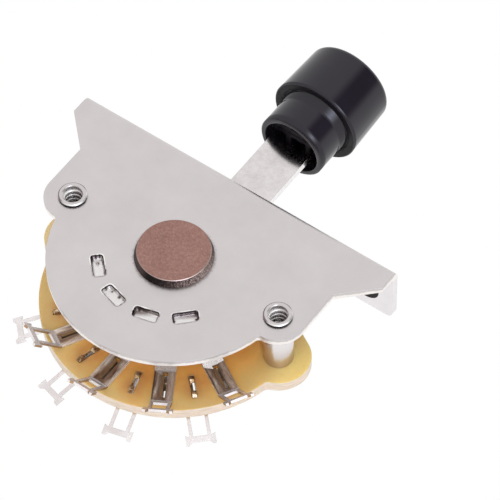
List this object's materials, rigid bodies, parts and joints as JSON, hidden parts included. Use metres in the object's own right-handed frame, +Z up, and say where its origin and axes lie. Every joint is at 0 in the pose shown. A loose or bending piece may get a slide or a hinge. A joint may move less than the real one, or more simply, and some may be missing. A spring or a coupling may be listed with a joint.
{
  "type": "lever selector switch",
  "caption": "Lever selector switch on a folded steel bracket: amber laminate wafer with solder lugs on both faces, wiper rotor, pressed detents and a black two-step lever knob.",
  "frame": {"origin": "top face of the mounting flange, midway between its two tapped holes", "axes": "+Z up along the lever at its middle position, -Y out of the flat front plate, +X along the flange"},
  "size_m": [0.05, 0.0146, 0.0618],
  "materials": {
    "nickel_plate": "satin nickel plate, bright sheared edges",
    "copper": "satin copper plate with a fine cross grain",
    "fibre": "vulcanised fibre",
    "bright_nickel": "bright turned nickel",
    "phenolic": "translucent amber laminate",
    "silver_plate": "silver-plated spring strip",
    "lever_steel": "nickel-plated flat steel",
    "brass": "turned brass",
    "rotor_phenolic": "brown paper laminate",
    "black_plastic": "polished black plastic"
  },
  "bodies": {
    "frame": {"mounting_bracket": "nickel_plate", "pivot_stud": "copper", "thrust_washer": "fibre", "left_post": "bright_nickel", "right_post": "bright_nickel", "stator_wafer": "phenolic", "front_terminal_1": "silver_plate", "front_terminal_2": "silver_plate", "front_terminal_3": "silver_plate", "front_common_terminal": "silver_plate", "back_common_terminal": "silver_plate", "back_terminal_1": "silver_plate", "back_terminal_2": "silver_plate", "back_terminal_3": "silver_plate", "left_post_screw": "bright_nickel", "right_post_screw": "bright_nickel", "left_split_washer": "bright_nickel", "right_split_washer": "bright_nickel", "retaining_ring": "bright_nickel"},
    "lever": {"selector_lever": "lever_steel", "lever_hub": "brass", "hub_spacer": "brass", "detent_spring": "silver_plate", "rotor": "rotor_phenolic", "front_contact_blade": "silver_plate", "back_contact_blade": "silver_plate", "rotor_rivets": "brass", "back_washer": "brass", "lever_knob": "black_plastic"}
  },
  "joints": [
    {"name": "lever_swing", "type": "hinge", "parent": "frame", "child": "lever", "pos_m": [0, 0, -0.0147], "axis": [0, 1, 0], "range_deg": [-30, 30]}
  ]
}
